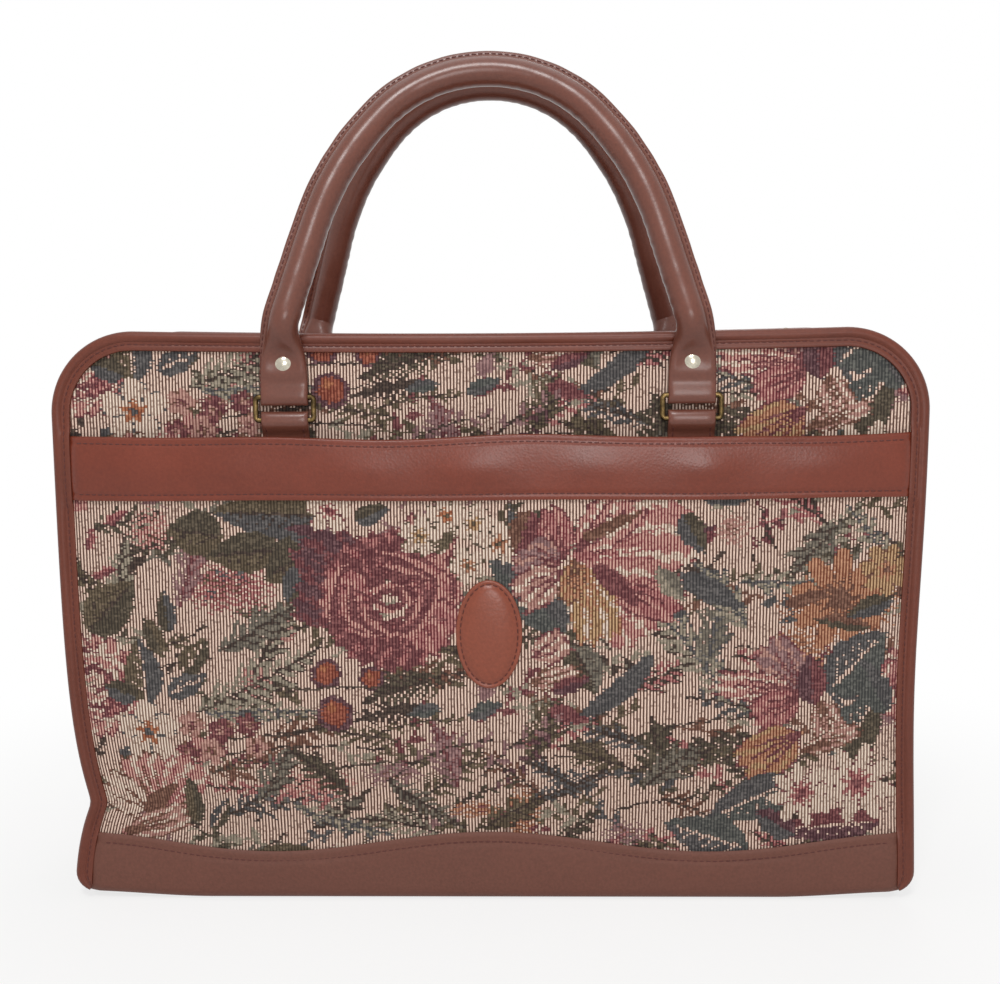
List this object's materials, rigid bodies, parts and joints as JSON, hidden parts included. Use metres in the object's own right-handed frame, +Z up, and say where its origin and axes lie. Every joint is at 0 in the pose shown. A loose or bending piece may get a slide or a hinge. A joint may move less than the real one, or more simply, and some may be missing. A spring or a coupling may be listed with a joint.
{
  "type": "briefcase",
  "caption": "Soft-sided zip-top briefcase of ribbed floral tapestry with leatherette base, piping and pocket band, and arched handles on wire rings.",
  "frame": {"origin": "on the surface that the briefcase stands on, under the middle of its box", "axes": "+X to the right seen from the front, -Y to the front, +Z up"},
  "size_m": [0.42, 0.129, 0.4163],
  "materials": {
    "tapestry": "ribbed jacquard weave with a floral pattern on a cream and olive ground",
    "handle_leatherette": "soft semi-gloss leatherette, stitched",
    "band_leatherette": "satin leatherette with a fine grain",
    "piping_leatherette": "satin leatherette drawn over a cord",
    "base_leatherette": "matte leatherette with a fine grain",
    "lining": "plain woven lining",
    "board": "grey-brown fibre board",
    "core_cord": "undyed filler cord",
    "zip_tape": "close woven tape",
    "antique_brass": "antique brass, lightly polished",
    "rivet_metal": "pale polished rivet cap"
  },
  "bodies": {
    "case": {"front_panel": "tapestry", "front_board": "board", "back_panel": "tapestry", "back_board": "board", "left_gusset": "tapestry", "right_gusset": "tapestry", "base_wrap": "base_leatherette", "base_board": "board", "lining": "lining", "front_pocket": "tapestry", "pocket_band": "band_leatherette", "badge": "band_leatherette", "front_piping": "piping_leatherette", "back_piping": "piping_leatherette", "front_zip_strip": "band_leatherette", "back_zip_strip": "band_leatherette", "front_zip_tape": "zip_tape", "back_zip_tape": "zip_tape", "front_zip_teeth": "antique_brass", "back_zip_teeth": "antique_brass", "zip_stops": "antique_brass", "front_left_tab": "handle_leatherette", "front_right_tab": "handle_leatherette", "back_left_tab": "handle_leatherette", "back_right_tab": "handle_leatherette"},
    "front_rings": {"front_left_ring": "antique_brass", "front_right_ring": "antique_brass"},
    "front_handle": {"front_handle_cover": "handle_leatherette", "front_handle_core": "core_cord", "front_handle_rivets": "rivet_metal"},
    "back_rings": {"back_left_ring": "antique_brass", "back_right_ring": "antique_brass"},
    "back_handle": {"back_handle_cover": "handle_leatherette", "back_handle_core": "core_cord", "back_handle_rivets": "rivet_metal"},
    "slider": {"zip_slider": "antique_brass"},
    "pull": {"zip_pull": "antique_brass"}
  },
  "joints": [
    {"name": "front_rings_swing", "type": "hinge", "parent": "case", "child": "front_rings", "pos_m": [0, -0.0515, 0.2395], "axis": [1, 0, 0], "range_deg": [0, 90]},
    {"name": "front_handle_swing", "type": "hinge", "parent": "front_rings", "child": "front_handle", "pos_m": [0, -0.0515, 0.2505], "axis": [1, 0, 0], "range_deg": [0, 65]},
    {"name": "back_rings_swing", "type": "hinge", "parent": "case", "child": "back_rings", "pos_m": [0, 0.0515, 0.2395], "axis": [-1, 0, 0], "range_deg": [0, 90]},
    {"name": "back_handle_swing", "type": "hinge", "parent": "back_rings", "child": "back_handle", "pos_m": [0, 0.0515, 0.2505], "axis": [-1, 0, 0], "range_deg": [0, 65]},
    {"name": "zip_run", "type": "slide", "parent": "case", "child": "slider", "axis": [-1, 0, 0], "range_m": [0, 0.3], "deforming": ["front_zip_teeth", "back_zip_teeth"]},
    {"name": "zip_pull_turn", "type": "hinge", "parent": "slider", "child": "pull", "pos_m": [0.15, 0, 0.2795], "axis": [0, 1, 0], "range_deg": [0, 180]}
  ]
}
